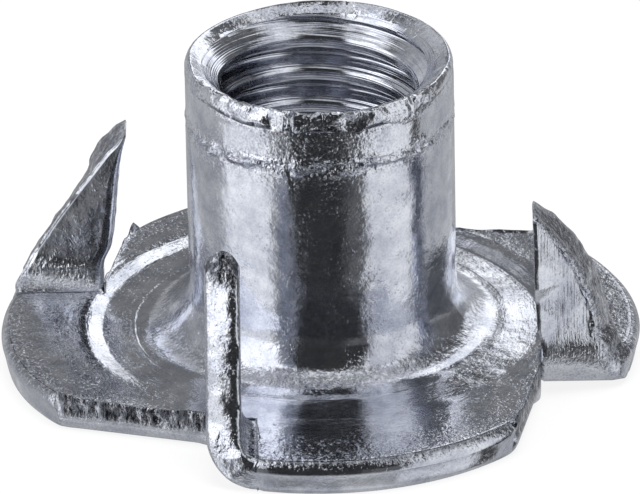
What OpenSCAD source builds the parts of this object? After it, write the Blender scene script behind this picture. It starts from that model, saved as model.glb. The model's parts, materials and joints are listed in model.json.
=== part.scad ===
// Four-prong tee nut: a barrel drawn up out of one steel disc, with four prongs sheared from
// the disc's rim and folded up. Millimetres. The origin is on the thread's axis, in the
// underside of the flange; +Z runs up the barrel, the way the prongs point.

/* [Thread and barrel] */
// Nominal diameter of the metric thread
thread_d = 8; // [6:0.25:8.5]
// Pitch of the thread
thread_pitch = 1.25; // [1:0.05:1.5]
// Outside diameter of the barrel
barrel_d = 9.2; // [8.6:0.1:11.2]
// Height from the underside of the flange to the crest of the rim
height = 11.4; // [9:0.1:18]
// Radius that rolls over the outside of the rim
rim_round = 1; // [0.6:0.05:1.2]
// How far the crest of the rim lies inside the barrel's outside
crest_inset = 0.3; // [0.15:0.05:0.45]

/* [Flange] */
// Span across opposite petals
flange_d = 22; // [19:0.5:27]
// Thickness of the sheet
sheet_t = 1.2; // [0.9:0.05:1.5]
// How far each petal's rim is centred off the axis, towards its own fold
petal_shift = 2; // [0:0.1:2.5]
// Lean of the sheared edges off square, in degrees
cut_angle = 13.5; // [4:0.5:20]
// Radius of the rolled lower edge of the petals
edge_roll = 0.3; // [0.1:0.05:0.4]
// Radius of the fillet between the barrel and the flange
root_fillet = 2.2; // [1:0.1:3]
// Radius of the rounded entry in the underside
entry_round = 1.5; // [0.8:0.1:2]
// Depth of the shallow ring pressed into the flange around the barrel
coin_depth = 0.08; // [0.02:0.01:0.15]
// Width of the ring's sloping edge
coin_slope = 0.35; // [0.2:0.05:0.6]
// Gap between the ring and the inner ends of the shear cuts
coin_gap = 0.15; // [0.05:0.05:0.4]

/* [Prongs] */
// Height of the prong tips over the underside
prong_h = 7.4; // [5:0.1:9]
// How far each prong's tip leans in over its foot, starting with the one beside +X
tip_in = [0.15, 0, 0.8, 0]; // [0:0.05:1]
// Width of a prong just over its fold
prong_w = 2.4; // [2:0.1:2.8]
// Distance from the petals' span in to a prong's inner edge
prong_inset = 3.5; // [3.2:0.1:3.9]
// Radius of a prong's outer edge, which was the rim of the disc
prong_edge_r = 10.8; // [8:0.2:14]
// Radius of a prong's blunt tip
tip_round = 0.22; // [0.1:0.02:0.3]
// Distance from the axis to the line where the fold starts
fold_y = 2.2; // [1.6:0.1:2.8]
// Inside radius of the fold
fold_in = 0.5; // [0.3:0.05:0.8]
// How far past the start of the fold the shear cut runs in
notch_past = 0.95; // [0.6:0.05:1.2]

/* [Hidden] */
$fn = 96;
prongs = 4;
steel = "LightSteelBlue";

// A metric thread's basic minor diameter is 1.0825 pitches under its nominal one
bore_r = (thread_d - 1.0825 * thread_pitch) / 2;
mouth_r = bore_r + entry_round;
barrel_r = barrel_d / 2;
crest_r = barrel_r - crest_inset;
rim_z = height - sqrt(pow(rim_round, 2) - pow(rim_round - crest_inset, 2));

// How far a cutting shape reaches past what it cuts
past = 1;
flange_r = flange_d / 2;
past_rim = flange_r + past;
petal_r = flange_r - petal_shift;
notch_x = flange_r - prong_inset;
notch_y = fold_y + notch_past;
coin_r = norm([notch_x, notch_y]) - coin_gap;
floor_z = sheet_t - coin_depth;
root_r = min(root_fillet, coin_r - coin_slope - barrel_r);

fold_out = fold_in + sheet_t;
blade_y = fold_y + fold_in;

// The centre of a circle of radius r through p and q, on the left of the way from p to q
function arc_centre(p, q, r) =
    let (half = (q - p) / 2, rise = sqrt(pow(r, 2) - pow(norm(half), 2)))
    p + half + rise * [-half.y, half.x] / norm(half);

// Where the line p + t * way, t > 0, leaves a circle of radius r around c
function leaves_circle(p, way, c, r) =
    let (u = way / norm(way), along = (c - p) * u, off = norm(c - p - along * u))
    p + (along + sqrt(pow(r, 2) - pow(off, 2))) * u;

// Half of the barrel's section, as radius and height
module barrel_section() {
    difference() {
        union() {
            square([barrel_r, rim_z]);
            translate([barrel_r - rim_round, rim_z]) circle(rim_round);
            difference() {
                square([barrel_r + root_r, floor_z + root_r]);
                translate([barrel_r + root_r, floor_z + root_r]) circle(root_r);
            }
        }
        square([bore_r, height]);
        // countersunk mouth, which leaves the crest of the rim standing
        polygon([
            [0, height - crest_r],
            [crest_r + past, height + past],
            [0, height + past]
        ]);
        difference() {
            square([mouth_r, entry_round]);
            translate([mouth_r, entry_round]) circle(entry_round);
        }
    }
}

// A disc of the sheet with its lower edge rolled over
module rolled_disc(r) {
    rotate_extrude() union() {
        translate([0, edge_roll]) square([r, sheet_t - edge_roll]);
        square([r - edge_roll, sheet_t]);
        translate([r - edge_roll, edge_roll]) circle(edge_roll);
    }
}

// One petal, from its own fold round to the edge sheared for the next prong
module petal() {
    cut_drop = tan(cut_angle) * (past_rim - notch_y);
    intersection() {
        translate([petal_shift, 0, 0]) rolled_disc(petal_r);
        linear_extrude(sheet_t) polygon([
            [0, -fold_y],
            [past_rim, -fold_y],
            [past_rim, notch_x - cut_drop],
            [notch_y, notch_x],
            [0, notch_x]
        ]);
    }
}

// The ring pressed down around the barrel, with its sloping edge
module coined_ring() {
    rotate_extrude() polygon([
        [0, floor_z],
        [coin_r - coin_slope, floor_z],
        [coin_r, sheet_t],
        [coin_r + coin_slope, sheet_t + coin_depth],
        [0, sheet_t + coin_depth]
    ]);
}

// The quarter turn of sheet between a petal and its prong, cut by the petal's rim
module fold() {
    intersection() {
        translate([notch_x, -fold_y, fold_out]) rotate([0, 90, 0]) rotate([0, 0, -90])
            rotate_extrude(angle = 90) translate([fold_in, 0]) square([sheet_t, prong_inset]);
        translate([petal_shift, 0, 0]) cylinder(r = petal_r, h = fold_out);
    }
}

// A prong's outline in its own plane, x outwards and y up, from an inner edge that leans in
// by lean and an outer edge that is still the disc's rim, to a blunt tip between the two
module blade_outline(lean) {
    foot = [notch_x, fold_out];
    tip = [notch_x - lean, prong_h];
    inward = tip_round * [prong_h - fold_out, lean] / norm(tip - foot);
    edge_centre = arc_centre(foot + [prong_w, 0], tip, prong_edge_r);
    nose = leaves_circle(foot + inward, tip - foot, edge_centre, prong_edge_r - tip_round);
    nose_out = nose + tip_round * (nose - edge_centre) / norm(nose - edge_centre);
    difference() {
        intersection() {
            polygon([foot, foot + [prong_inset, 0], tip + [prong_inset, 0], tip]);
            translate(edge_centre) circle(prong_edge_r);
        }
        // what stands past the blunt tip, from where it meets the inner edge to the outer one
        polygon([
            nose - inward,
            nose_out,
            [nose_out.x, prong_h + past],
            [nose.x - past, prong_h + past],
            [nose.x - past, nose.y]
        ]);
    }
    translate(nose) circle(tip_round);
}

module prong(lean) {
    fold();
    translate([0, -blade_y, 0]) rotate([90, 0, 0]) linear_extrude(sheet_t) blade_outline(lean);
}

module tee_nut() {
    color(steel) union() {
        rotate_extrude() barrel_section();
        difference() {
            for (k = [0 : prongs - 1]) rotate(k * 360 / prongs) petal();
            coined_ring();
            translate([0, 0, -past]) cylinder(r = max(barrel_r, mouth_r), h = sheet_t + 2 * past);
        }
        for (k = [0 : prongs - 1]) rotate(k * 360 / prongs) prong(tip_in[k]);
    }
}

tee_nut();
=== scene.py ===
import json
from math import asin, atan2, cos, degrees, pi, radians, sin, sqrt, tan
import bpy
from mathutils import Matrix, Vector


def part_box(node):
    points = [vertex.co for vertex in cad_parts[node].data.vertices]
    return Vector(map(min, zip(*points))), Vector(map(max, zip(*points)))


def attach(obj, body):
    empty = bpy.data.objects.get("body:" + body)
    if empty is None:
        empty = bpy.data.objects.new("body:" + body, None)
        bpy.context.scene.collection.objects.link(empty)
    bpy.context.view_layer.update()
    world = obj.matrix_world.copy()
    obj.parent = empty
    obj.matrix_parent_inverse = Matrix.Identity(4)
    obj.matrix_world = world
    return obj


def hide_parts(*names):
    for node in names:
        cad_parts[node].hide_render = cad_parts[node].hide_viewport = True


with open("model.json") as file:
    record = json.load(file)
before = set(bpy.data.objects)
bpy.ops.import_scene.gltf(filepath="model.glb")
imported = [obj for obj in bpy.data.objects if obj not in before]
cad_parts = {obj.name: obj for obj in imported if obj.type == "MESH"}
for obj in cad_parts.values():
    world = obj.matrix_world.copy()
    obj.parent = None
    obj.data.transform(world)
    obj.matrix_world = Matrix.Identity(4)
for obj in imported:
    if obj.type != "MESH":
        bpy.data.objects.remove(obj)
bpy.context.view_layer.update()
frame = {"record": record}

from types import SimpleNamespace

import bmesh
import bpy
import numpy as np
from mathutils import Matrix

# ---------------------------------------------------------------------------------------------
# The blank: one disc of mild steel sheet, punched out and then sheared four times from its rim
# inwards. Each cut frees a prong and leaves a petal with a torn edge on one side. Sizes are
# millimetres in the frame's own place, and the mesh is scaled to metres where it is made.
# ---------------------------------------------------------------------------------------------
MM = 0.001
mounts = {m["name"]: m for m in frame["record"]["mounts"]}
high = np.array(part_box("tee_nut")[1]) / MM

# the skin keeps this far inside the solid, so that its bumps stay inside as well
rim_clear, barrel_clear = 0.02, 0.015
flange_r = high[0] - rim_clear
sheet_t = mounts["wood_face"]["pos_m"][2] / MM
# each petal's rim is a circle centred this far off the thread's axis
petal_shift = 2.0
petal_r = flange_r - petal_shift
# the fold's line and its inner end, and the notch where the cut stops beside it
fold_y = 2.2
notch_x = 7.5
notch_y = [fold_y + 0.95] * 3 + [fold_y + 1.6]
# for each petal: how far its cut leans off square, how far in it lies, and how far the petal's
# rim falls short of a circle, from one bearing up to a share of the corner's
cut_lean = [5.0, 12.0, 16.0, 11.3]
cut_in = [0.5, 0.0, 0.0, 0.0]
rim_short = [0.0, 0.5, -0.14, 0.0]
short_from, short_share = -0.1, 0.75

# columns round the outline, in each quarter: along the rim, the cut, its end and the fold
RIM, CUT, NOTCH, FOLD = 56, 44, 5, 21
QUARTER = RIM + CUT + NOTCH + FOLD
COLUMNS = 4 * QUARTER
# the corner between rim and cut is worn round over so many columns, by so many passes
WORN_COLUMNS, WORN_PASSES = 3, 6


def smooth(x, start, end):
    """0 before start, 1 after end, with an eased slope between."""
    t = np.clip((x - start) / (end - start), 0, 1)
    return t * t * (3 - 2 * t)


def turned(points, quarters):
    """Points turned about the thread's axis by quarter turns."""
    c, s = round(cos(quarters * pi / 2)), round(sin(quarters * pi / 2))
    out = np.array(points, float)
    out[..., 0] = c * points[..., 0] - s * points[..., 1]
    out[..., 1] = s * points[..., 0] + c * points[..., 1]
    return out


def between(start, end, count):
    """Points from start up to, and not including, end."""
    t = np.arange(count)[:, None] / count
    return np.array(start) * (1 - t) + np.array(end) * t


def petal_outline(k):
    """A quarter of the outline, from the outer end of petal k's fold round to the next fold."""
    slope = tan(radians(cut_lean[k]))
    fold_end = asin(-fold_y / petal_r)
    # the corner, where the cut's line meets the rim's circle
    near_r = petal_r - rim_short[k]
    up = notch_x - cut_in[k] + slope * notch_y[k]
    a = 1 + slope**2
    b = -2 * (petal_shift + slope * up)
    c = petal_shift**2 + up**2 - near_r**2
    corner_x = (-b + sqrt(b * b - 4 * a * c)) / (2 * a)
    corner = np.array([corner_x, up - slope * corner_x])
    corner_a = atan2(corner[1], corner[0] - petal_shift)
    along = np.linspace(fold_end, corner_a, RIM, endpoint=False)
    short = petal_r - rim_short[k] * smooth(along, short_from, short_share * corner_a)
    rim = np.stack([petal_shift + short * np.cos(along), short * np.sin(along)], 1)
    notch, bend = [notch_y[k], notch_x - cut_in[k]], [fold_y, notch_x]
    next_rim = [fold_y, petal_shift + petal_r * cos(fold_end)]
    cut = [between(corner, notch, CUT), between(notch, bend, NOTCH), between(bend, next_rim, FOLD)]
    return turned(np.concatenate([rim] + cut), k)


outline = np.concatenate([petal_outline(k) for k in range(4)])
station = np.arange(COLUMNS) % QUARTER
on_fold = station >= RIM + CUT + NOTCH
on_cut = (station >= RIM) & (station < RIM + CUT + NOTCH)

near_corner = np.abs(station - RIM) <= WORN_COLUMNS
for _ in range(WORN_PASSES):
    eased = (np.roll(outline, 1, 0) + 2 * outline + np.roll(outline, -1, 0)) / 4
    outline[near_corner] = eased[near_corner]

outline_r = np.hypot(outline[:, 0], outline[:, 1])
heading = outline / outline_r[:, None]
turn_at = np.arctan2(outline[:, 1], outline[:, 0])
edge_way = np.roll(outline, -1, 0) - np.roll(outline, 1, 0)
edge_way /= np.hypot(edge_way[:, 0], edge_way[:, 1])[:, None]
# how much longer a step is along the radius than square to the edge
squareness = heading[:, 0] * edge_way[:, 1] - heading[:, 1] * edge_way[:, 0]
oblique = 1 / np.clip(squareness, 0.6, 1)

# ---------------------------------------------------------------------------------------------
# The barrel and flange: the barrel is drawn up out of the blank's middle in several strokes, so
# it runs into the flange by a fillet, and the last punch rolls its rim over. The flange's
# middle is coined a little lower, inside a sloping step.
# ---------------------------------------------------------------------------------------------
height = high[2]
barrel_r = mounts["barrel"]["dims"]["r_mm"] - barrel_clear
bore_r = mounts["thread"]["dims"]["r_mm"]
# the countersunk mouth's edge, and how far it lies under the rim's crest
mouth_r, mouth_drop = 4.0, 0.32
# the rolled rim's section from the mouth's edge to the side, as radius and fall from the crest
rim_run = [
    (4.13, 0.22), (4.24, 0.138), (4.33, 0.074), (4.385, 0.045), (4.425, 0.045), (4.46, 0.07),
    (4.495, 0.115), (4.525, 0.175), (4.552, 0.25), (4.572, 0.33), (4.567, 0.39), (4.54, 0.43),
    (4.55, 0.5), (4.573, 0.6),
]
rim_fall = rim_run[-1][1]
# the band of creases round the barrel, where a die stopped
crease_z, crease_half = 9.22, 0.42
fillet_r = 1.75
# the coined step: its depth, and where its slope starts and ends
coin_step = 0.17
coin_in, coin_out = 7.52, 8.08
# the rounding of the bore's entry in the underside
entry_r = 1.5

profile = []
rows = {}


def add_rows(name, points):
    """Adds a stretch of the section, as radius and height, and notes which rows it holds."""
    rows[name] = slice(len(profile), len(profile) + len(points))
    profile.extend(points)


def each(name):
    """The rows of one stretch, with their place in it from 0 to 1."""
    count = rows[name].stop - rows[name].start
    return [(rows[name].start + n, n / max(count - 1, 1)) for n in range(count)]


add_rows("lip", [(mouth_r, height - mouth_drop)] + [(r, height - fall) for r, fall in rim_run[:4]])
add_rows("round", [(r, height - fall) for r, fall in rim_run[4:]])
fillet_top = sheet_t + fillet_r
side_z = np.concatenate(
    [
        np.linspace(height - rim_fall, crease_z + crease_half, 8)[1:],
        np.linspace(crease_z + crease_half, crease_z - crease_half, 14)[1:],
        np.linspace(crease_z - crease_half, fillet_top, 13)[1:],
    ]
)
add_rows("side", [(barrel_r, z) for z in side_z])
add_rows(
    "fillet",
    [
        (barrel_r + fillet_r * (1 - cos(a)), sheet_t + fillet_r * (1 - sin(a)))
        for a in np.linspace(0, pi / 2, 14)[1:]
    ],
)
fillet_end = barrel_r + fillet_r
# a fine line that the die left just past the fillet
line_r = fillet_end + 0.11
floor_rs = [line_r - 0.05, line_r, line_r + 0.05, line_r + 0.18, 6.9, 7.2, coin_in - 0.05]
add_rows("floor", [(r, sheet_t) for r in floor_rs])
add_rows("coin", [(r, sheet_t) for r in np.linspace(coin_in, coin_out, 7)])
petal_share = [0.08, 0.2, 0.35, 0.5, 0.65, 0.78, 0.88, 0.95, 1.0]
add_rows("petal", [(coin_out, sheet_t)] * len(petal_share))
# the edge's section from top to bottom, as how far in and how far down: a punched rim, and a
# sheared cut, which is torn above and burnished below
rim_edge = [
    (0.27, 0.01), (0.2, 0.035), (0.03, 0.225), (0.0, 0.3), (0.04, 0.46),
    (0.08, 0.65), (0.12, 0.86), (0.155, 1.02), (0.19, 1.14), (0.25, 1.2),
]
cut_edge = [
    (0.03, 0.0), (0.0, 0.05), (0.03, 0.16), (0.05, 0.30), (0.05, 0.46),
    (0.01, 0.60), (0.03, 0.76), (0.09, 0.94), (0.17, 1.1), (0.28, 1.2),
]
EDGE = len(rim_edge) - 1
add_rows("edge", [(flange_r, 0)] * (EDGE + 1))
add_rows("under", [(flange_r, 0)] * 5)
entry_mouth = bore_r + entry_r
add_rows(
    "entry",
    [(bore_r + entry_r * (1 - sin(a)), entry_r * (1 - cos(a))) for a in np.linspace(0, 0.63, 5)],
)
profile = np.array(profile, float)
ROWS = len(profile)


# the coining bit deepest at the back, and hardly at all at the front
sector = np.degrees(turn_at) % 360
deepest_at = 115
from_deepest = np.abs((sector - deepest_at + 180) % 360 - 180)
coined = coin_step * (0.1 + 0.9 * (1 - smooth(from_deepest, 84, 112)))
# the floor rises towards the fillet, more so on the right
floor_rise = 0.085 + 0.07 * np.cos(turn_at)


def top_at(r):
    """The flange's top: the coined floor, its sloping step, and a low ridge past the step."""
    rise = (1 - np.clip((r - fillet_end) / (coin_in - fillet_end), 0, 1)) ** 1.15
    step_rs = [coin_in - 0.02, coin_in + 0.03, coin_out - 0.02, coin_out + 0.05]
    low = np.interp(r, step_rs, [1, 0.97, 0.03, 0])
    ridge = 0.045 * np.exp(-(((r - coin_out - 0.26) / 0.1) ** 2))
    line = 0.014 * np.exp(-(((r - line_r) / 0.035) ** 2))
    return sheet_t - coined * low + floor_rise * rise + (ridge + line) * coined / coin_step


radius = np.repeat(profile[:, 0, None], COLUMNS, 1)
level = np.repeat(profile[:, 1, None], COLUMNS, 1)

# rows squeeze together where a cut reaches in past the coined step
least_land = 0.16
room = np.minimum(1, (outline_r - least_land - fillet_end) / (coin_out - fillet_end))
flat = slice(rows["floor"].start, rows["coin"].stop)
radius[flat] = fillet_end + (radius[flat] - fillet_end) * room
inner = fillet_end + (coin_out - fillet_end) * room
# the top's last row stops where the edge starts to round over, and a fold has no edge
break_in = np.where(on_cut, 0.08, 0.3) * oblique
outer = np.where(on_fold, outline_r, outline_r - break_in)
for (row, _), t in zip(each("petal"), petal_share):
    stop_short = np.where(on_fold, t * 0.96, t)
    radius[row] = inner + (outer - inner) * stop_short
for row in range(rows["floor"].start, rows["petal"].stop):
    level[row] = top_at(radius[row])
for row, t in each("fillet"):
    level[row] += (top_at(np.full(COLUMNS, fillet_end)) - sheet_t) * t
low_edge = rows["edge"].stop - 1
near_notch = 1 - 0.9 * smooth(station, RIM + CUT - 10, RIM + CUT - 1)
for (row, t), rim, cut in zip(each("edge"), rim_edge, cut_edge):
    inset = np.where(on_cut, cut[0] * near_notch, rim[0]) * oblique
    depth = np.where(on_cut, cut[1], rim[1])
    radius[row] = outline_r - np.where(on_fold, 0, inset)
    level[row] = np.where(on_fold, top_at(outline_r) * (1 - t), sheet_t - depth)
under_start = radius[low_edge] - np.where(on_fold, 0.02, 0.1)
for row, t in each("under"):
    radius[row] = under_start + (entry_mouth + 0.3 - under_start) * t
    level[row] = 0

# a fold's end is as far in as the rim beside it, and its top a little less far
end_gap = 0.06
for k in range(4):
    first, end = (k + 1) * QUARTER - FOLD, ((k + 1) * QUARTER) % COLUMNS
    cols = slice(first, first + FOLD)
    along = (outline_r[cols] - outline_r[first]) / (outline_r[end] - outline_r[first])
    for row in range(rows["petal"].start, rows["under"].start):
        if row < low_edge:
            pull_in = outline_r[end] - end_gap - radius[rows["edge"].start, end]
        else:
            pull_in = outline_r[end] - radius[low_edge, end]
        radius[row, cols] -= pull_in * along

# how each place was finished: turned by a tool, torn (whose dark colour is also used as painted
# shade), brushed by the die, hammered or burnished; the last two say how far across and how far up
# the thread's groove a place is
KINDS = ("turned", "torn", "brushed", "hammered", "burnished", "groove_across", "groove_up")
TURNED, TORN_AND_SHADE, BRUSHED, HAMMERED, BURNISHED, GROOVE, GROOVE_UP = range(len(KINDS))
finish = np.zeros((ROWS, COLUMNS, len(KINDS)))


def round_bearing(middle, half, power=4):
    """1 at a bearing in degrees, fading out past so many degrees on each side of it."""
    return np.exp(-(((sector - middle) / half) ** power))


# the front of the flange was rubbed smooth; the petals are worn most at the left and front
rubbed = round_bearing(272, 32)
worn = 0.3 - 0.3 * np.cos(turn_at) - 0.4 * np.sin(turn_at)
at_right = np.exp(-((((sector + 180) % 360 - 186) / 26) ** 4))
finish[flat, :, TURNED] = 0.9 - 0.5 * rubbed
for row, t in each("fillet"):
    finish[row, :, TURNED] = 0.7 * smooth(t, 0.85, 1)
    # a band on the fillet takes the torn mark: its dark colour is a painted dark reflection, and
    # its bumps are rough
    finish[row, :, TORN_AND_SHADE] = 0.45 * np.exp(-(((t - 0.6) / 0.12) ** 2))
for row, t in each("petal"):
    finish[row, :, TURNED] = 0.5 * (1 - smooth(t, 0.1, 0.5))
    finish[row, :, HAMMERED] = 0.15 + 0.15 * smooth(t, 0.2, 0.5) + worn * smooth(t, 0.5, 0.85)
    finish[row, :, TORN_AND_SHADE] = 0.5 * at_right * smooth(t, 0.2, 0.6) * ~on_fold
for row in range(rows["floor"].start, rows["petal"].stop):
    kept = 1 - smooth(radius[row], 8.6, 9.4)
    finish[row, :, BURNISHED] = 0.75 * rubbed * kept
for row, t in each("edge"):
    finish[row, :, TORN_AND_SHADE] = np.where(on_cut, 1 - smooth(t, 0.5, 0.62), 0)
    finish[row, :, HAMMERED] = np.where(on_cut, 0.1, 0.6 * (1 - smooth(t, 0.1, 0.3)))
    finish[row, :, BURNISHED] = np.where(on_cut, 0, 0.6 * smooth(t, 0.25, 0.4))

# ---------------------------------------------------------------------------------------------
# Knocks and marks of making, left in the barrel and flange by the punches and dies before the
# plating: the hammered rim, the rough crease where one die stopped, the torn cuts with their
# burrs, and the barrel's small lean.
# ---------------------------------------------------------------------------------------------
# the barrel's lean, and how far the whole of it stands to the right; both start low in the
# fillet and are there in full higher up, and fade out over the flange
lean_left, lean_front = tan(radians(0.5)), tan(radians(1.6))
set_right = 0.1
lean_z, lean_full_z = 1.8, 4.0
set_z, set_full_z = 1.2, 3.0
leaning_r, still_r = 5.2, 6.2
# the last punch spread the rim down at the front, and at the back left it only dips a little
spread_most, dip_most = 0.34, 0.1
# how deep the rim's dents are at least, their fine and their broad ones, and at most
dent_least, dent_fine, dent_broad, dent_most = 0.05, 0.11, 0.06, 0.28


def grain(count, seed, across, along):
    """Random bumps over a strip of rows, eased over so many rows and columns, about 1 high."""
    draw = np.random.default_rng(seed).normal(size=(count, COLUMNS))
    gap = np.subtract.outer(np.arange(count), np.arange(count))
    draw = np.exp(-((gap / across) ** 2)) @ draw
    ease = np.exp(-((pi * np.fft.rfftfreq(COLUMNS) * along) ** 2))
    field = np.fft.irfft(np.fft.rfft(draw, axis=1) * ease, COLUMNS, axis=1)
    return field / field.std()


def lean_barrel(points):
    """Tips the barrel from its fillet up, more to the front than to the left."""
    z = points[..., 2]
    up = np.clip(z - lean_z, 0, None) * smooth(z, lean_z, lean_full_z)
    near = 1 - smooth(np.hypot(points[..., 0], points[..., 1]), leaning_r, still_r)
    out = points.copy()
    out[..., 0] += (set_right * smooth(z, set_z, set_full_z) - lean_left * up) * near
    out[..., 1] -= lean_front * up * near
    return out


ripple = grain(ROWS, 3, 9, 44)
pebble = grain(ROWS, 5, 1.1, 3.4)
front = round_bearing(268, 66)
facing = round_bearing(268, 30)
finish[rows["lip"].start : rows["round"].stop, :, HAMMERED] = 0.8 * (0.25 + 0.75 * front)
# painted shade under the rolled rim's foot, mostly at the front, and a painted dark line along the
# flange's upper edge, both in the torn mark's dark colour
finish[rows["round"].stop - 4 : rows["round"].stop - 2, :, TORN_AND_SHADE] = 1.3 * front
for row in (rows["edge"].start, rows["edge"].start + 1):
    finish[row, :, TORN_AND_SHADE] = np.where(on_cut, finish[row, :, TORN_AND_SHADE], 0.7)

for name in ("side", "fillet"):
    for row, t in each(name):
        radius[row] += 0.006 * ripple[row]
for row, t in each("side"):
    z = profile[row, 1]
    creased = np.exp(-(((z - crease_z - 0.05 * ripple[3]) / 0.27) ** 2))
    creased *= 0.5 + 0.5 * round_bearing(248, 48, 2)
    above = smooth(z, crease_z - 0.25, crease_z + 0.2)
    radius[row] -= 0.012 * above + 0.013 * creased * (1 + 4.2 * pebble[row])
    knocked = (0.05 + 0.65 * facing) * smooth(z, crease_z - 0.2, crease_z + 0.3)
    finish[row, :, HAMMERED] = 2.6 * creased + knocked

spread_down = spread_most * front
for row, t in each("lip"):
    level[row] -= spread_down * 0.4 * t
for row, t in each("round"):
    level[row] -= spread_down * (0.4 + 0.6 * smooth(t, 0.2, 0.7))
side_top, side_foot = height - rim_fall, crease_z + crease_half
for row, _ in each("side"):
    share = np.clip((profile[row, 1] - side_foot) / (side_top - side_foot), 0, 1)
    level[row] -= spread_down * share
level[rows["lip"].start : rows["side"].start] -= dip_most * round_bearing(142, 38, 2)
dent = grain(ROWS, 21, 1.3, 5)
broad_dent = grain(ROWS, 22, 3, 15)
for name in ("lip", "round"):
    for row, t in each(name):
        if name == "lip":
            reach = sin(pi / 2 * min(1, t + 0.25))
        else:
            reach = 1 - smooth(t, 0.55, 1)
        push = reach * (0.06 + 0.94 * front)
        deep = dent_least + dent_fine * dent[row] + dent_broad * broad_dent[row]
        level[row] -= push * np.clip(deep, -0.02, dent_most)
        radius[row] += push * 0.04 * pebble[row]

tear = grain(ROWS, 31, 3, 1.6)
for row, t in each("edge"):
    zone = smooth(t, 0.05, 0.2) * (1 - smooth(t, 0.5, 0.66))
    radius[row] += np.where(on_cut, 0.02 * zone * tear[row], 0.004 * ripple[row])
burr_high = np.where(on_cut, np.clip(0.04 + 0.05 * grain(1, 33, 1, 4)[0], 0, 0.15), 0)
burr_high *= 1 + 0.8 * (station < RIM + 6)
level[rows["petal"].stop - 1] += burr_high
level[rows["edge"].start] += burr_high
# the sheet waves a little, and a low ridge runs round the left petal
ridge_r, ridge_at = 9.75, 182
for row, t in each("petal"):
    level[row] += 0.012 * ripple[row] * smooth(t, 0, 0.3) * ~on_fold
    off_ridge = ((radius[row] - ridge_r) / 0.3) ** 2 + ((sector - ridge_at) / 30) ** 2
    level[row] += 0.035 * np.exp(-off_ridge)

skin = np.stack([radius * heading[:, 0], radius * heading[:, 1], level], -1)
skin = lean_barrel(skin)

# ---------------------------------------------------------------------------------------------
# The prongs: strips of the same sheet, folded up a quarter turn at their feet. The outer edge
# is the blank's old rim, the inner one is the shear cut, and the two meet in a blunt tip. No
# two are folded or pointed quite alike.
# ---------------------------------------------------------------------------------------------
fold_in = 0.5
fold_out = fold_in + sheet_t
FOLD_STEPS, BLADE_STEPS, TIP_STEPS = 12, 38, 6
nose_r = 0.17
# how fast a dent's face falls away, and how high under the tip its slant and rounding start
dent_slope = 0.25
tip_reach = 1.0
KNOCK_SEED = 40
# for each prong, starting beside +X:
#   top                         its height
#   outer, inner                the run of each edge, as (z, x)
#   slant, cup                  how far its top slants, and how round it is through the sheet
#   tuck, top_tuck              how far its outer edge is undercut, at the foot and at the top
#   twist                       how many degrees its face is turned
#   brushed, pitted, rough      how strongly its face is brushed and pitted, and its edge rough
#   corner_out, corner_in       how round its corners are
#   foot                        how round the outer corner is beside the fold
#   burr, torn_top, creased     its burr, how torn its top is, and how creased its fold is
#   dents                       the dents beside its inner edge, as (z, half height, reach)
shared_outer = [(1.7, 9.95), (3.7, 9.5), (5.37, 8.85), (6.25, 8.3), (7.2, 7.72)]
prong_set = [
    SimpleNamespace(
        top=7.08, outer=[(1.7, 9.95), (3.7, 9.5), (5.37, 8.74), (6.25, 8.05), (7.1, 7.3)],
        inner=[(1.7, 7.5), (2.8, 7.36), (4.5, 7.27), (7.1, 7.2)],
        slant=0.05, cup=0.16, tuck=0.3, top_tuck=0.3, twist=21.5, brushed=0.4, pitted=0.05,
        rough=0.6, corner_out=0.2, corner_in=0.12, foot=0.45, burr=0.06, torn_top=0,
        creased=1.0, dents=[(4.3, 0.75, 1.1), (2.75, 0.8, 0.7)],
    ),
    SimpleNamespace(
        top=7.35, outer=shared_outer, inner=[(1.7, 7.5), (4.5, 7.5), (7.2, 7.5)],
        slant=0.05, cup=0.3, tuck=0.3, top_tuck=0.3, twist=0, brushed=0.6, pitted=0.5,
        rough=0.5, corner_out=0.2, corner_in=0.2, foot=0.2, burr=0, torn_top=0,
        creased=1.0, dents=[],
    ),
    SimpleNamespace(
        top=7.06,
        outer=[(1.7, 10.15), (2.9, 9.52), (4.1, 8.77), (5.2, 8.0), (6.2, 7.3), (6.75, 6.95)],
        inner=[(1.7, 7.42), (2.34, 7.26), (4.63, 6.98), (6.54, 6.73)],
        slant=0.2, cup=0.06, tuck=0.22, top_tuck=-0.3, twist=-12.5, brushed=0.0, pitted=0.0,
        rough=0.7, corner_out=0.1, corner_in=0.34, foot=0.12, burr=0, torn_top=0,
        creased=1.0, dents=[],
    ),
    SimpleNamespace(
        top=7.5, outer=shared_outer, inner=[(1.7, 7.5), (4.5, 7.47), (7.2, 7.4)],
        slant=0.0, cup=0.6, tuck=0.36, top_tuck=0.36, twist=0, brushed=0.6, pitted=0.25,
        rough=0.15, corner_out=0.2, corner_in=0.2, foot=0.2, burr=0, torn_top=0.9,
        creased=0.25, dents=[],
    ),
]

# a ring's points across a face, and down an edge, where they lie closer towards the faces
face_gap = 0.06
across_face = np.linspace(0, 1, FOLD - 1)
down_edge = 0.5 - 0.5 * np.cos(pi * (0.1 + 0.8 * np.linspace(0, 1, EDGE + 1)))
down_edge = (down_edge - down_edge[0]) / (down_edge[-1] - down_edge[0])
edge_depths = face_gap + (sheet_t - 2 * face_gap) * down_edge
RING = 2 * (FOLD + EDGE)


def prong_stages(top):
    """Each ring's place: the angle of its fold, its height, and how far the tip has closed."""
    nose_z = top - nose_r
    stages = [(a, fold_out, 0.0) for a in np.linspace(0, pi / 2, FOLD_STEPS + 1)[1:]]
    for t in np.linspace(0, 1, BLADE_STEPS + 1)[1:]:
        stages.append((pi / 2, fold_out + (nose_z - fold_out) * t, 0.0))
    for a in np.linspace(0, pi / 2, TIP_STEPS + 1)[1:]:
        stages.append((pi / 2, nose_z + nose_r * sin(a), 1 - cos(a)))
    # the last ring is drawn together into a line
    stages.append((pi / 2, top, None))
    return stages


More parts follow.
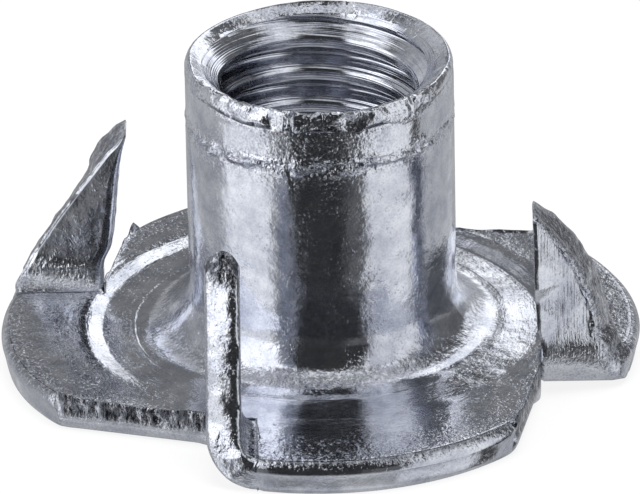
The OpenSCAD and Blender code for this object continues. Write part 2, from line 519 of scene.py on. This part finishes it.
def edge_inset(depth, corner):
    """How far a rounded edge lies inside its outline, at a depth under the sheet's top."""
    corner = max(corner, 0.01)
    up = np.clip((corner - depth) / corner, 0, 1)
    down = np.clip((depth - sheet_t + corner) / corner, 0, 1)
    return corner * (2 - np.sqrt(1 - up**2) - np.sqrt(1 - down**2))


def outer_edge(depth, bend, z, x_out, tucked):
    """The outer edge at a depth under the sheet's top, before its corners are rounded."""
    y = -fold_y - (fold_in + depth) * sin(bend)
    on_circle = petal_shift + np.sqrt(petal_r**2 - y**2)
    # above the fold the rim's circle gives way to the blade's own outline
    ease = smooth(bend + (z - fold_out) / fold_out, 0.6, 2.2)
    under = np.clip((depth / sheet_t - 0.2) / 0.8, 0, 1) ** 1.3
    return on_circle * (1 - ease) + x_out * ease - tucked * under


def folded_up(prong, x, depth, bend, z, x_in, span):
    """Points at x outwards and at a depth under the sheet's top, folded and raised in place."""
    risen = (z - fold_out) / (prong.top - fold_out)
    turned_now = 0.55 * smooth(bend, 0.2, pi / 2) + 0.45 * smooth(risen, 0, 0.1)
    out = fold_in + depth
    y = -fold_y - out * sin(bend) + (x - x_in) * tan(radians(prong.twist)) * turned_now
    for dent_z, dent_half, reach in prong.dents:
        wide = reach * np.clip(1 - abs(z - dent_z) / dent_half, 0, 1)
        y = y - dent_slope * np.clip(wide - (x - x_in), 0, None) * (depth > 0.9 * sheet_t)
    near_top = smooth(z, prong.top - tip_reach, prong.top)
    fall = prong.cup * near_top * np.abs(2 * depth / sheet_t - 1) ** 2.4
    fall = fall + prong.slant * near_top * np.clip((x - x_in) / max(span, 0.3), 0, 1)
    up = fold_out - out * cos(bend) if bend < pi / 2 else z - fall
    return np.stack([x, y, up], -1)


def prong_ring(prong, runs, knocks, bend, z, closed):
    """One ring: out along the top face, down the outer edge, back below, up the inner edge."""
    risen = (z - fold_out) / (prong.top - fold_out)
    folded = smooth(bend, 0, 0.8)
    x_in, x_out = (np.polyval(run, z) for run in runs)
    x_in = notch_x + (x_in - notch_x) * smooth(risen, 0, 0.2)
    if closed is None:
        x_in = x_out = (x_in + x_out) / 2
    else:
        shrink = min(nose_r, (x_out - x_in) / 2) * closed
        x_in, x_out = x_in + shrink, x_out - shrink
    span = x_out - x_in
    tuck_now = prong.tuck + (prong.top_tuck - prong.tuck) * smooth(risen, 0.5, 0.85)
    tucked = min(tuck_now * smooth(bend + z - fold_out, 0.8, 2.2), 0.4 * span)
    by_fold = 1 - smooth(risen, 0.02, 0.22)
    round_out = min(prong.corner_out + (prong.foot - prong.corner_out) * by_fold, 0.3 * span)
    round_in = min(prong.corner_in, 0.3 * span)

    rim_inset = np.interp(edge_depths, [d for _, d in rim_edge], [i for i, _ in rim_edge])
    outer_inset = rim_inset * (1 - folded) + edge_inset(edge_depths, round_out) * folded
    knock = 0.03 * knocks[: EDGE + 1] * smooth(span, 0.1, 0.6) * folded
    outer_side = outer_edge(edge_depths, bend, z, x_out, tucked) - outer_inset
    outer_side = outer_side + knock * (edge_depths > 2 * face_gap)
    inner_side = x_in + edge_inset(edge_depths, round_in) * folded + 0.3 * knock
    face_in = x_in + round_in
    low_out = outer_edge(sheet_t, bend, z, x_out, tucked) - round_out - 0.2 * (1 - folded)
    top_out = outer_edge(0.0, bend, z, x_out, tucked) - round_out - 0.1 * (1 - folded)
    if closed is None:
        outer_side = inner_side = np.full(EDGE + 1, x_in)
        face_in = low_out = top_out = x_in

    top_run = face_in + (top_out - face_in) * across_face
    low_run = face_in + (low_out - face_in) * across_face
    top_x = np.concatenate([[inner_side[0]], top_run, [outer_side[0]]])
    low_x = np.concatenate([[inner_side[-1]], low_run, [outer_side[-1]]])
    top_d, low_d = np.full(FOLD + 1, 0.0), np.full(FOLD + 1, sheet_t)
    top_d[[0, -1]], low_d[[0, -1]] = edge_depths[0], edge_depths[-1]
    low_d[-2:] += prong.burr * np.clip(0.5 + 0.8 * knocks[40:42], 0, 1.5) * smooth(z, 1.8, 2.4)
    x = np.concatenate([top_x, outer_side[1:-1], low_x[::-1], inner_side[-2:0:-1]])
    depth = np.concatenate([top_d, edge_depths[1:-1], low_d[::-1], edge_depths[-2:0:-1]])
    return folded_up(prong, x, depth, bend, z, x_in, span)


def prong_finish(prong, bend, z):
    """How one ring of a prong was finished, point by point round it."""
    by_fold = 1 - smooth(z, fold_out, fold_out + 0.4)
    mark = np.zeros((RING, len(KINDS)))
    mark[:, BRUSHED] = prong.brushed * smooth(bend, 0.9, 1.5)
    mark[:, HAMMERED] = prong.pitted + 0.3 * by_fold * smooth(bend, 0, 0.5)
    outer_part = slice(FOLD, FOLD + EDGE + 1)
    mark[outer_part, TORN_AND_SHADE] = prong.rough * smooth(bend, 0.4, 1.4)
    mark[outer_part, TORN_AND_SHADE] += prong.torn_top * smooth(z, prong.top - 1.3, prong.top - 0.5)
    mark[outer_part, BRUSHED] = 0
    mark[FOLD, TORN_AND_SHADE] *= 1 - smooth(z, 4.4, 4.9)
    # the fold's inner curve is creased
    crease = prong.creased * smooth(bend, 0, 0.9) * by_fold
    mark[: FOLD + 1, HAMMERED] += 0.3 * crease
    mark[: FOLD + 1, BRUSHED] += 0.8 * crease
    if prong.burr:
        mark[FOLD + EDGE - 1 : FOLD + EDGE + 2, HAMMERED] += 1.5 * smooth(z, 1.8, 2.4)
    return mark


def prong_rings(prong, seed):
    """The rings of one prong beside +X, from just past its fold's start up to its tip."""
    runs = [np.polyfit(*zip(*run), 3) for run in (prong.inner, prong.outer)]
    stages = prong_stages(prong.top)
    knocks = grain(len(stages), seed, 1.3, 2)
    rings = [prong_ring(prong, runs, knocks[n], *stage) for n, stage in enumerate(stages)]
    return np.array(rings), np.array([prong_finish(prong, bend, z) for bend, z, _ in stages])


# ---------------------------------------------------------------------------------------------
# The thread: M8 x 1.25, right-handed, cut with a tap through the whole barrel from its rim end,
# so that its first turns break out through the mouth's taper.
# ---------------------------------------------------------------------------------------------
pitch = 1.25
thread_root_r = 3.93
thread_deep = thread_root_r - bore_r
# how fast the mouth narrows downwards, and where round the bore a turn starts
mouth_taper = 1.15
thread_start = -0.19
# a turn's section: crest flat, flank, root flat, flank, each corner eased by a near pair
turn_at_step = np.array([0.02, 0.10, 0.18, 0.25, 0.31, 0.42, 0.53, 0.585, 0.665, 0.72, 0.83, 0.94])
turn_deep = np.array([0.0, 0.0, 0.0, 0.02, 0.16, 0.5, 0.86, 0.98, 0.98, 0.86, 0.5, 0.14])
STEPS = len(turn_deep)
bore_low_z = profile[-1, 1]
bore_top_z = height - mouth_drop


def bore_radius(z, deep):
    """The bore's wall: the thread's groove, or the entry and the mouth where they are wider."""
    entry = entry_mouth - sqrt(max(entry_r**2 - max(entry_r - z, 0) ** 2, 0))
    mouth = mouth_r - (bore_top_z - z) * mouth_taper
    return max(bore_r + thread_deep * deep, entry, mouth)


# ---------------------------------------------------------------------------------------------
# The whole nut as one shell: it is a single pressing with nothing fixed to it. The skin closes
# round the sheet's edge, the prongs grow out of the petals' folded ends, and the bore's finer
# turns join the skin at the mouth and at the entry.
# ---------------------------------------------------------------------------------------------
points = [skin.reshape(-1, 3)]
marks = [finish.reshape(-1, len(KINDS))]
faces = []
index = np.arange(ROWS * COLUMNS).reshape(ROWS, COLUMNS)
total = ROWS * COLUMNS
top_row = rows["edge"].start
for row in range(ROWS - 1):
    for col in range(COLUMNS):
        if top_row <= row < low_edge and on_fold[col]:
            continue
        nxt = (col + 1) % COLUMNS
        faces.append((index[row, col], index[row + 1, col], index[row + 1, nxt], index[row, nxt]))

for k in range(4):
    rings, ring_marks = prong_rings(prong_set[k], KNOCK_SEED + k)
    cols = [(k * QUARTER - FOLD + n) % COLUMNS for n in range(FOLD + 1)]
    loop = [index[top_row, c] for c in cols]
    loop += [index[r, cols[-1]] for r in range(top_row + 1, low_edge)]
    loop += [index[low_edge, c] for c in reversed(cols)]
    loop += [index[r, cols[0]] for r in range(low_edge - 1, top_row, -1)]
    ring_index = total + np.arange(len(rings) * RING).reshape(-1, RING)
    points.append(turned(rings, k).reshape(-1, 3))
    marks.append(ring_marks.reshape(-1, len(KINDS)))
    total += len(rings) * RING
    loops = [np.array(loop)] + list(ring_index)
    for a, b in zip(loops, loops[1:]):
        for n in range(RING):
            m = (n + 1) % RING
            faces.append((a[n], b[n], b[m], a[m]))

# the bore's turns, one column for two of the skin's
bore_columns = range(0, COLUMNS, 2)
turns_at, bore_points, place_in_turn = [], [], []
# turns are tried from below the bore to above it, and kept a little way off its two ends
first_turn = int(np.floor((bore_low_z - pitch) / pitch)) - 1
turns_tried = 14
bore_gap = 0.03
for j in bore_columns:
    around = (turn_at[j] / (2 * pi)) % 1 + thread_start
    found = {}
    for turn in range(first_turn, first_turn + turns_tried):
        for step in range(STEPS):
            z = pitch * (turn + turn_at_step[step] + around)
            if bore_low_z + bore_gap < z < bore_top_z - bore_gap:
                r = bore_radius(z, turn_deep[step])
                found[turn * STEPS + step] = total + len(bore_points)
                bore_points.append((r * heading[j, 0], r * heading[j, 1], z))
                place_in_turn.append(2 * pi * turn_at_step[step])
    turns_at.append(found)
bore_points = np.array(bore_points)
bore_marks = np.zeros((len(bore_points), len(KINDS)))
bore_marks[:, BURNISHED] = 0.8
bore_marks[:, GROOVE] = np.cos(place_in_turn)
bore_marks[:, GROOVE_UP] = np.sin(place_in_turn)
points.append(lean_barrel(bore_points))
marks.append(bore_marks)
last_row = ROWS - 1
for n, j in enumerate(bore_columns):
    m = (n + 1) % len(turns_at)
    # past the start of the turns the same groove is one turn on
    past = (turn_at[bore_columns[m]] % (2 * pi)) < (turn_at[j] % (2 * pi))
    shift = STEPS if past else 0
    here, there = turns_at[n], turns_at[m]
    both = sorted(q for q in here if q + shift in there)
    for q in both[:-1]:
        faces.append((here[q], there[q + shift], there[q + 1 + shift], here[q + 1]))
    a, b, c = j, (j + 1) % COLUMNS, (j + 2) % COLUMNS
    lower = [there[q] for q in sorted(there) if q <= both[0] + shift]
    lower += [here[q] for q in sorted(here, reverse=True) if q <= both[0]]
    faces.append(tuple([index[last_row, a], index[last_row, b], index[last_row, c]] + lower))
    upper = [here[q] for q in sorted(here, reverse=True) if q >= both[-1]]
    upper += [there[q] for q in sorted(there) if q >= both[-1] + shift]
    faces.append(tuple([index[0, c], index[0, b], index[0, a]] + upper))

mesh = bpy.data.meshes.new("tee_nut_shell")
corners = [tuple(int(i) for i in face) for face in faces]
mesh.from_pydata((np.concatenate(points) * MM).tolist(), [], corners)
all_marks = np.concatenate(marks)
for slot, name in enumerate(KINDS):
    layer = mesh.attributes.new(name, "FLOAT", "POINT")
    layer.data.foreach_set("value", all_marks[:, slot].astype(np.float32))
mesh.update()
nut = bpy.data.objects.new("tee_nut_shell", mesh)
bpy.context.scene.collection.objects.link(nut)

# points closer than this are one
weld = 0.0005 * MM
work = bmesh.new()
work.from_mesh(mesh)
bmesh.ops.remove_doubles(work, verts=work.verts, dist=weld)
bmesh.ops.dissolve_degenerate(work, edges=work.edges, dist=weld)
bmesh.ops.recalc_face_normals(work, faces=work.faces)
work.to_mesh(mesh)
work.free()

bpy.ops.object.select_all(action="DESELECT")
nut.select_set(True)
bpy.context.view_layer.objects.active = nut
sharp_edge = radians(50)
bpy.ops.object.shade_smooth_by_angle(angle=sharp_edge)

# ---------------------------------------------------------------------------------------------
# The plating: bright zinc, put on in a tumbling bath, with a thin blue-white passivation. It
# follows what the dies left: mottling all over, tool rings on the flange and in the bore,
# streaks on the prongs, and coarse pits where the steel was worked or torn.
# ---------------------------------------------------------------------------------------------
zinc_dark = (0.485, 0.505, 0.575, 1)
zinc_light = (0.79, 0.805, 0.855, 1)
# dark steel where the sheet tore, also used as painted shade
torn_steel_and_shade = (0.13, 0.135, 0.155, 1)
bump_reach = 0.015 * MM
# one turn round the axis counts as this much along a tool ring, in metres for each radian
ring_stretch = 1.8 * MM

zinc = bpy.data.materials.new("bright_zinc_plate")
zinc.use_nodes = True
zinc.node_tree.nodes.clear()


def node(kind, tree=zinc.node_tree, **settings):
    """A shader node; in_... settings are its inputs, by number or by name."""
    made = tree.nodes.new(kind)
    for name, value in settings.items():
        if not name.startswith("in_"):
            setattr(made, name, value)
            continue
        key = name[3:]
        socket = made.inputs[int(key) if key.isdigit() else key.replace("_", " ").title()]
        if isinstance(value, bpy.types.NodeSocket):
            tree.links.new(value, socket)
        else:
            socket.default_value = value
    return made


def math(operation, a, b=0.0, tree=zinc.node_tree):
    """One step of arithmetic on numbers or sockets."""
    return node("ShaderNodeMath", tree, operation=operation, in_0=a, in_1=b).outputs[0]


def noise(vector, scale, detail=2.0):
    """Noise round 0.5, with so many bumps to each unit of the vector."""
    made = node("ShaderNodeTexNoise", in_vector=vector, in_scale=scale, in_detail=detail)
    return made.outputs["Fac"]


def spread(value, start, end, to_start=0.0, to_end=1.0):
    """Stretches start to end over another span, and stops at its ends."""
    made = node("ShaderNodeMapRange", in_value=value, in_from_min=start, in_from_max=end)
    made.inputs["To Min"].default_value = to_start
    made.inputs["To Max"].default_value = to_end
    return made.outputs["Result"]


at = node("ShaderNodeTexCoord").outputs["Object"]
xyz = node("ShaderNodeSeparateXYZ", in_vector=at)
x, y, z = (xyz.outputs[name] for name in "XYZ")
from_axis = math("SQRT", math("ADD", math("MULTIPLY", x, x), math("MULTIPLY", y, y)))
bearing_round = math("ARCTAN2", y, x)
along_ring = math("MULTIPLY", bearing_round, ring_stretch)
ring_way = node("ShaderNodeCombineXYZ", in_x=from_axis, in_y=along_ring, in_z=z).outputs[0]
tear_way = node("ShaderNodeCombineXYZ", in_x=x, in_y=y, in_z=math("MULTIPLY", z, 0.3)).outputs[0]
streak_way = node("ShaderNodeCombineXYZ", in_x=x, in_y=y, in_z=math("MULTIPLY", z, 0.05)).outputs[0]
marks_of = {}
for name in KINDS:
    marks_of[name] = node("ShaderNodeAttribute", attribute_name=name).outputs["Fac"]
turned_mark, torn_and_shade_mark, brushed_mark = (marks_of[name] for name in ("turned", "torn", "brushed"))
hammered_mark, burnished_mark = marks_of["hammered"], marks_of["burnished"]
# the thread's own tool lines follow its groove round
groove_way = node(
    "ShaderNodeCombineXYZ",
    in_x=marks_of["groove_across"],
    in_y=marks_of["groove_up"],
    in_z=math("MULTIPLY", x, 60.0),
).outputs[0]
groove_across, groove_up = (math("ABSOLUTE", marks_of[name]) for name in KINDS[GROOVE:])
in_groove = math("GREATER_THAN", math("ADD", groove_across, groove_up), 0.5)
groove_lines = math("MULTIPLY", noise(groove_way, 3.2, 2.0), in_groove)

mottle = noise(at, 6500, 3.0)
speck = noise(at, 13000, 2.0)
wave = noise(at, 1300, 1.0)
patch = noise(at, 700, 2.0)
rings = noise(ring_way, 12000, 2.0)
wide_rings = noise(ring_way, 4500, 1.0)
streaks = noise(streak_way, 14000, 3.0)
coarse = noise(at, 3800, 2.0)
tears = noise(tear_way, 5500, 3.0)

worked = math("ADD", math("MULTIPLY", hammered_mark, 1.3), math("MULTIPLY", torn_and_shade_mark, 1.2))
rough_left = math("SUBTRACT", 1.0, burnished_mark)
pits = spread(noise(at, 9500, 2.0), 0.58, 0.74)
mottling = math("MULTIPLY", mottle, math("ADD", worked, 0.5))
relief = math("ADD", mottling, math("MULTIPLY", wave, 2.0))
pit_patch = spread(noise(at, 1100, 1.0), 0.42, 0.62, 0.0, 0.45)
pitted = math("ADD", math("MULTIPLY", worked, 0.6), pit_patch)
relief = math("ADD", relief, math("MULTIPLY", pits, math("MINIMUM", pitted, 1.6)))
relief = math("MULTIPLY", relief, rough_left)
for part, gain in (
    (math("MULTIPLY", rings, turned_mark), 0.7),
    (math("MULTIPLY", wide_rings, turned_mark), 0.6),
    (groove_lines, 2.5),
    (math("MULTIPLY", streaks, brushed_mark), 1.6),
    (math("MULTIPLY", tears, torn_and_shade_mark), 3.0),
    (math("MULTIPLY", coarse, worked), 1.6),
):
    relief = math("ADD", relief, math("MULTIPLY", part, gain))
bump = node("ShaderNodeBump", in_strength=1.0, in_distance=bump_reach, in_height=relief)

pepper = math("ADD", math("MULTIPLY", math("MINIMUM", worked, 0.9), 1.1), 0.3)
pepper = math("MULTIPLY", spread(speck, 0.34, 0.6, -0.3, 0.7), pepper)
pepper = math("ADD", pepper, spread(noise(at, 2300, 2.0), 0.35, 0.65, -0.1, 0.3))
shade = math("ADD", pepper, math("MULTIPLY", spread(patch, 0.35, 0.65), 0.65))
# painted shade: the colour is darker in the hollows of the coarse bumps on worked and torn steel
painted_hollow_shade = math("MULTIPLY", math("MULTIPLY", worked, 0.35), spread(coarse, 0.6, 0.4))
shade = math("SUBTRACT", shade, painted_hollow_shade)


def blended(share, first, second):
    """One colour where share is 0, the other where it is 1."""
    made = node(
        "ShaderNodeMix",
        data_type="RGBA",
        clamp_factor=True,
        in_factor=share,
        in_a=first,
        in_b=second,
    )
    return made.outputs["Result"]


colour = blended(shade, zinc_dark, zinc_light)
gloss = math("ADD", spread(mottle, 0.3, 0.7, 0.08, 0.16), math("MULTIPLY", brushed_mark, 0.2))
gloss = math("ADD", gloss, math("MULTIPLY", torn_and_shade_mark, 0.1))

# where the sheet tore, less plating took; the same dark colour is also painted shade on a band of
# the fillet, under the rolled rim's foot and along the flange's upper edge
torn_and_shade_share = math("MULTIPLY", torn_and_shade_mark, spread(tears, 0.34, 0.54, 0.1, 1.0))
colour = blended(torn_and_shade_share, colour, torn_steel_and_shade)
shader = node(
    "ShaderNodeBsdfPrincipled",
    in_metallic=1.0,
    in_roughness=gloss,
    in_base_color=colour,
    in_normal=bump.outputs["Normal"],
)
node("ShaderNodeOutputMaterial", in_surface=shader.outputs["BSDF"])
mesh.materials.append(zinc)

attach(nut, "root")
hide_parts("tee_nut")

# ---------------------------------------------------------------------------------------------
# The stage: a pale paper floor that the nut stands on, a soft overhead light, and a world that
# stands for a studio's white panels with dark gaps between them, because bright zinc shows
# little but what stands round it.
# ---------------------------------------------------------------------------------------------
floor_wide = 1.2
paper = (0.9, 0.9, 0.9, 1)
paper_roughness = 0.9
# how far the floor shows as plain white, which leaves the rest for the shadow
floor_white = 0.85
bpy.context.scene.view_settings.view_transform = "Standard"
bpy.ops.object.select_all(action="DESELECT")
bpy.ops.mesh.primitive_plane_add(size=floor_wide, location=(0, 0, 0))
floor = bpy.context.object
floor.name = "floor"
floor.visible_glossy = False
pale = bpy.data.materials.new("pale_floor")
pale.use_nodes = True
tree = pale.node_tree
base = tree.nodes["Principled BSDF"]
base.inputs["Base Color"].default_value = paper
base.inputs["Roughness"].default_value = paper_roughness
seen = node("ShaderNodeLightPath", tree).outputs["Is Camera Ray"]
share = math("MULTIPLY", seen, floor_white, tree)
glow = node("ShaderNodeEmission", tree)
blend = node("ShaderNodeMixShader", tree, in_0=share, in_1=base.outputs[0], in_2=glow.outputs[0])
tree.links.new(blend.outputs[0], tree.nodes["Material Output"].inputs["Surface"])
floor.data.materials.append(pale)

world = bpy.data.worlds.new("studio")
bpy.context.scene.world = world
world.use_nodes = True
sky = world.node_tree
sky.nodes.clear()


def sky_math(operation, a, b=0.0):
    """One step of arithmetic in the sky."""
    return math(operation, a, b, sky)


def ramp(value, start, end):
    """0 before start, 1 after end, in degrees."""
    made = node(
        "ShaderNodeMapRange",
        sky,
        interpolation_type="SMOOTHSTEP",
        in_value=value,
        in_from_min=start,
        in_from_max=end,
    )
    return made.outputs["Result"]


def strip(value, start, end, soft):
    """1 between start and end, fading to 0 over soft degrees on each side."""
    up = ramp(value, start - soft / 2, start + soft / 2)
    down = ramp(value, end + soft / 2, end - soft / 2)
    return sky_math("MULTIPLY", up, down)


way = node("ShaderNodeTexCoord", sky).outputs["Generated"]
way = node("ShaderNodeSeparateXYZ", sky, in_0=way).outputs
# bearing: 0 towards the front (-Y), +90 to the right (+X); rise: degrees above the horizon
ahead = sky_math("MULTIPLY", way["Y"], -1.0)
bearing = sky_math("MULTIPLY", sky_math("ARCTAN2", way["X"], ahead), degrees(1))
rise = sky_math("MULTIPLY", sky_math("ARCSINE", way["Z"]), degrees(1))

# each panel: bearing from and to, rise from and to, strength, and its fade sideways and upwards
panels = [
    (-134, -92, -50, -6, 0.45, 10, 8),
    (-152, -134, -50, 8, 0.45, 10, 8),
    (-134, -92, -6, 50, 0.38, 10, 8),
    (-92, -43, -50, 5, 1.05, 12, 8),
    (-43, -25, -50, 5, 0.2, 8, 8),
    (-92, -32, 5, 64, 1.6, 10, 8),
    (20, 38, -50, 5, 0.09, 14, 8),
    (39, 84, -50, 64, 0.88, 9, 8),
    (96, 152, -50, -8, 0.5, 6, 8),
    (94, 136, -8, 50, 0.12, 6, 8),
    (136, 152, -8, 10, 0.35, 6, 8),
    (138, 175.5, 10, 31, 1.5, 6, 8),
    (140, 167, 31, 50, 1.4, 8, 8),
    (150, 200, -50, 10, 0.42, 6, 8),
    (-200, -150, -50, 10, 0.42, 6, 8),
    (175.5, 200, 12, 46, 0.15, 5, 8),
    (-200, -163, 12, 46, 0.18, 5, 8),
    (-163, -134, 12, 46, 0.55, 6, 8),
    (-50, 50, -60, -42, 0.22, 30, 8),
    (-200, 200, -95, -52, 0.45, 6, 10),
    (140, 172, 49, 61, 1.0, 6, 6),
    (-172, -140, 49, 61, 1.0, 6, 6),
    (-70, 70, 71, 84, 0.95, 6, 6),
    (72, 150, 56, 80, 0.8, 6, 6),
    (-150, -72, 56, 80, 0.8, 6, 6),
]
gap_light = 0.04
light = gap_light
for left, right, bottom, top, strength, soft, soft_rise in panels:
    across = strip(bearing, left, right, soft)
    up = strip(rise, bottom, top, soft_rise)
    mask = sky_math("MULTIPLY", across, up)
    light = sky_math("ADD", sky_math("MULTIPLY", mask, strength), light)
panel_white, plain_white = (0.96, 0.975, 1, 1), (1, 1, 1, 1)
seen = node("ShaderNodeLightPath", sky).outputs["Is Camera Ray"]
studio = node("ShaderNodeBackground", sky, in_color=panel_white, in_strength=light)
white = node("ShaderNodeBackground", sky, in_color=plain_white)
blend = node("ShaderNodeMixShader", sky, in_0=seen, in_1=studio.outputs[0], in_2=white.outputs[0])
node("ShaderNodeOutputWorld", sky, in_surface=blend.outputs[0])

softbox_wide, softbox_watts = 0.25, 1.3
softbox_at = (0.03, -0.05, 0.4)
lamp_data = bpy.data.lights.new("overhead_softbox", "AREA")
lamp_data.shape = "DISK"
lamp_data.size = softbox_wide
lamp_data.energy = softbox_watts
lamp = bpy.data.objects.new("overhead_softbox", lamp_data)
lamp.location = softbox_at
lamp.visible_glossy = False
bpy.context.scene.collection.objects.link(lamp)

# the camera looks down on the nut from a third of a metre off, and the nut just fills its view
camera_rise, camera_roll = radians(26.2), radians(-0.6)
camera_far = 346 * MM
seen_wide = 21.9554 * MM
aim_height = 3.94 * MM
film_wide = 36
camera_data = bpy.data.cameras.new("camera")
camera_data.sensor_width = film_wide
camera_data.lens = film_wide * camera_far / seen_wide
camera_data.clip_start = 0.01
camera_data.clip_end = 10
camera = bpy.data.objects.new("camera", camera_data)
bpy.context.scene.collection.objects.link(camera)
bpy.context.scene.camera = camera
stand = (0, -camera_far * cos(camera_rise), aim_height + camera_far * sin(camera_rise))
look = Matrix.Rotation(pi / 2 - camera_rise, 4, "X") @ Matrix.Rotation(camera_roll, 4, "Z")
camera.matrix_world = Matrix.Translation(stand) @ look
